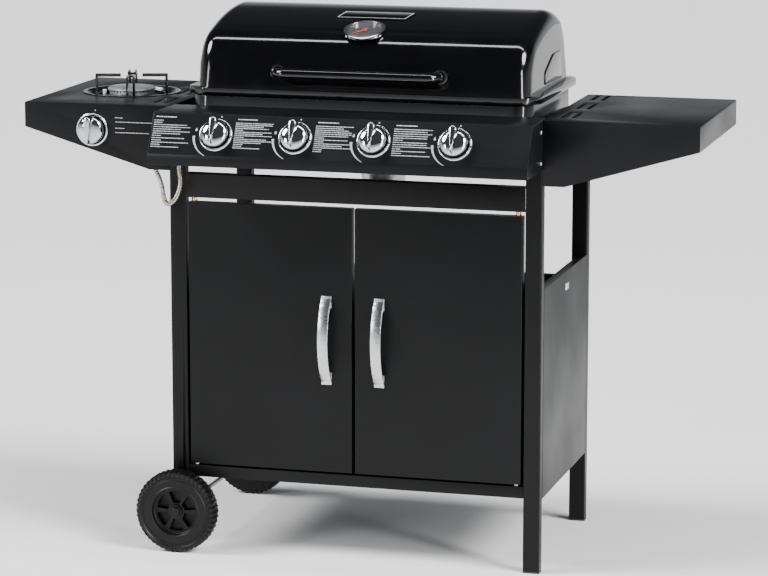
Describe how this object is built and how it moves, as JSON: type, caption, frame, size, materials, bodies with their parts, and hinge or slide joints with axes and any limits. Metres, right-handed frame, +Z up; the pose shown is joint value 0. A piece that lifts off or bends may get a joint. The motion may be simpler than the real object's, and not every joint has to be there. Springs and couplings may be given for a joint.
{
  "type": "gas barbecue grill",
  "caption": "Free-standing gas grill with a hinged lid over a firebox, a sloping knob panel, side shelves with a side burner and a two-door cart on wheels.",
  "frame": {"origin": "on the floor, at the centre of the whole grill's footprint", "axes": "+X along the grill to the right as seen from the front, +Y from the front to the back, +Z up"},
  "size_m": [1.226, 0.5744, 0.9703],
  "materials": {
    "black_powder_coat": "satin, fine texture",
    "black_enamel": "gloss",
    "panel_dark_grey": "satin",
    "chrome": "polished",
    "brushed_steel": "brushed",
    "galvanised": "matt zinc",
    "porcelain_iron": "satin",
    "brass": "satin",
    "aluminium": "cast, matt",
    "hose_steel": "corrugated",
    "wheel_plastic": "moulded, satin",
    "black_plastic": "matt",
    "dial_face": "matt",
    "pointer_red": "gloss",
    "igniter_white": "glazed"
  },
  "bodies": {
    "cart": {"leg_front_left": "black_powder_coat", "leg_rear_left": "black_powder_coat", "leg_front_right": "black_powder_coat", "leg_rear_right": "black_powder_coat", "side_rails": "black_powder_coat", "bottom_shelf": "black_powder_coat", "front_crossbar": "black_powder_coat", "side_panel_left": "black_powder_coat", "side_panel_right": "black_powder_coat", "back_panel": "black_powder_coat", "side_shelf_left": "black_powder_coat", "side_shelf_right": "black_powder_coat", "firebox": "black_enamel", "side_burner_bowl": "black_enamel", "control_box": "panel_dark_grey", "knob_bezels": "chrome", "burners": "brushed_steel", "heat_plates": "brushed_steel", "axle": "galvanised", "axle_caps": "galvanised", "hinge_brackets": "galvanised", "hinge_pins": "galvanised", "door_pins": "brass", "gas_manifold": "brass", "side_valve": "brass", "hose_fittings": "brass", "side_burner_head": "aluminium", "gas_hose": "hose_steel", "leg_feet": "black_plastic", "side_igniter": "igniter_white"},
    "lid": {"lid_shell": "black_enamel", "lid_handle": "black_enamel", "lid_handle_ferrules": "chrome", "lid_hinge_brackets": "galvanised", "thermometer_case": "chrome", "thermometer_dial": "dial_face", "badge_plate": "black_enamel", "warming_rack": "chrome"},
    "door_left": {"door_left": "black_powder_coat", "door_handle_left": "brushed_steel"},
    "door_right": {"door_right": "black_powder_coat", "door_handle_right": "brushed_steel"},
    "wheel_front": {"wheel_front": "wheel_plastic"},
    "wheel_rear": {"wheel_rear": "wheel_plastic"},
    "thermometer_pointer": {"thermometer_pointer": "pointer_red"},
    "cooking_grate_left": {"cooking_grate_left": "porcelain_iron"},
    "cooking_grate_right": {"cooking_grate_right": "porcelain_iron"},
    "pot_support": {"pot_support": "black_enamel"},
    "side_burner_cap": {"side_burner_cap": "aluminium"},
    "grease_cup": {"grease_cup": "galvanised"},
    "valve_stem_1": {"valve_stem_1": "brass"},
    "knob_1": {"knob_1": "chrome"},
    "valve_stem_2": {"valve_stem_2": "brass"},
    "knob_2": {"knob_2": "chrome"},
    "valve_stem_3": {"valve_stem_3": "brass"},
    "knob_3": {"knob_3": "chrome"},
    "valve_stem_4": {"valve_stem_4": "brass"},
    "knob_4": {"knob_4": "chrome"},
    "valve_stem_5": {"valve_stem_5": "brass"},
    "knob_5": {"knob_5": "chrome"}
  },
  "joints": [
    {"name": "lid_hinge", "type": "hinge", "parent": "cart", "child": "lid", "pos_m": [0, 0.24122, 0.832], "axis": [-1, 0, 0], "range_deg": [0, 80]},
    {"name": "door_left_hinge", "type": "hinge", "parent": "cart", "child": "door_left", "pos_m": [-0.296, -0.14278, 0.4], "axis": [0, 0, -1], "range_deg": [0, 110]},
    {"name": "door_right_hinge", "type": "hinge", "parent": "cart", "child": "door_right", "pos_m": [0.296, -0.14278, 0.4], "axis": [0, 0, 1], "range_deg": [0, 110]},
    {"name": "wheel_front_spin", "type": "hinge", "parent": "cart", "child": "wheel_front", "pos_m": [-0.325, -0.17328, 0.075], "axis": [0, 1, 0], "continuous": true},
    {"name": "wheel_rear_spin", "type": "hinge", "parent": "cart", "child": "wheel_rear", "pos_m": [-0.325, 0.26972, 0.075], "axis": [0, 1, 0], "continuous": true},
    {"name": "pointer_turn", "type": "hinge", "parent": "lid", "child": "thermometer_pointer", "pos_m": [-0.005, -0.05878, 0.9445], "axis": [0, 0.309, -0.9511], "range_deg": [0, 250]},
    {"name": "knob_1_turn", "type": "hinge", "parent": "cart", "child": "valve_stem_1", "pos_m": [-0.2195, -0.24778, 0.7725], "axis": [0, -0.8759, 0.4824], "range_deg": [0, 170]},
    {"name": "knob_1_push", "type": "slide", "parent": "valve_stem_1", "child": "knob_1", "axis": [0, 0.8759, -0.4824], "range_m": [0, 0.004], "stiffness_N_per_m": 400},
    {"name": "knob_2_turn", "type": "hinge", "parent": "cart", "child": "valve_stem_2", "pos_m": [-0.0755, -0.24778, 0.7725], "axis": [0, -0.8759, 0.4824], "range_deg": [0, 170]},
    {"name": "knob_2_push", "type": "slide", "parent": "valve_stem_2", "child": "knob_2", "axis": [0, 0.8759, -0.4824], "range_m": [0, 0.004], "stiffness_N_per_m": 400},
    {"name": "knob_3_turn", "type": "hinge", "parent": "cart", "child": "valve_stem_3", "pos_m": [0.065, -0.24778, 0.7725], "axis": [0, -0.8759, 0.4824], "range_deg": [0, 170]},
    {"name": "knob_3_push", "type": "slide", "parent": "valve_stem_3", "child": "knob_3", "axis": [0, 0.8759, -0.4824], "range_m": [0, 0.004], "stiffness_N_per_m": 400},
    {"name": "knob_4_turn", "type": "hinge", "parent": "cart", "child": "valve_stem_4", "pos_m": [0.209, -0.24778, 0.7725], "axis": [0, -0.8759, 0.4824], "range_deg": [0, 170]},
    {"name": "knob_4_push", "type": "slide", "parent": "valve_stem_4", "child": "knob_4", "axis": [0, 0.8759, -0.4824], "range_m": [0, 0.004], "stiffness_N_per_m": 400},
    {"name": "knob_5_turn", "type": "hinge", "parent": "cart", "child": "valve_stem_5", "pos_m": [-0.484, -0.15178, 0.76], "axis": [0, -1, 0], "range_deg": [0, 170]},
    {"name": "knob_5_push", "type": "slide", "parent": "valve_stem_5", "child": "knob_5", "axis": [0, 1, 0], "range_m": [0, 0.004], "stiffness_N_per_m": 400},
    {"name": "grate_left_lift", "type": "slide", "parent": "cart", "child": "cooking_grate_left", "axis": [0, 0, 1], "range_m": [0, 0.008]},
    {"name": "grate_right_lift", "type": "slide", "parent": "cart", "child": "cooking_grate_right", "axis": [0, 0, 1], "range_m": [0, 0.008]},
    {"name": "pot_support_lift", "type": "slide", "parent": "cart", "child": "pot_support", "axis": [0, 0, 1], "range_m": [0, 0.03]},
    {"name": "burner_cap_lift", "type": "slide", "parent": "cart", "child": "side_burner_cap", "axis": [0, 0, 1], "range_m": [0, 0.015]},
    {"name": "grease_cup_lift", "type": "slide", "parent": "cart", "child": "grease_cup", "axis": [0, 0, 1], "range_m": [0, 0.004]}
  ]
}
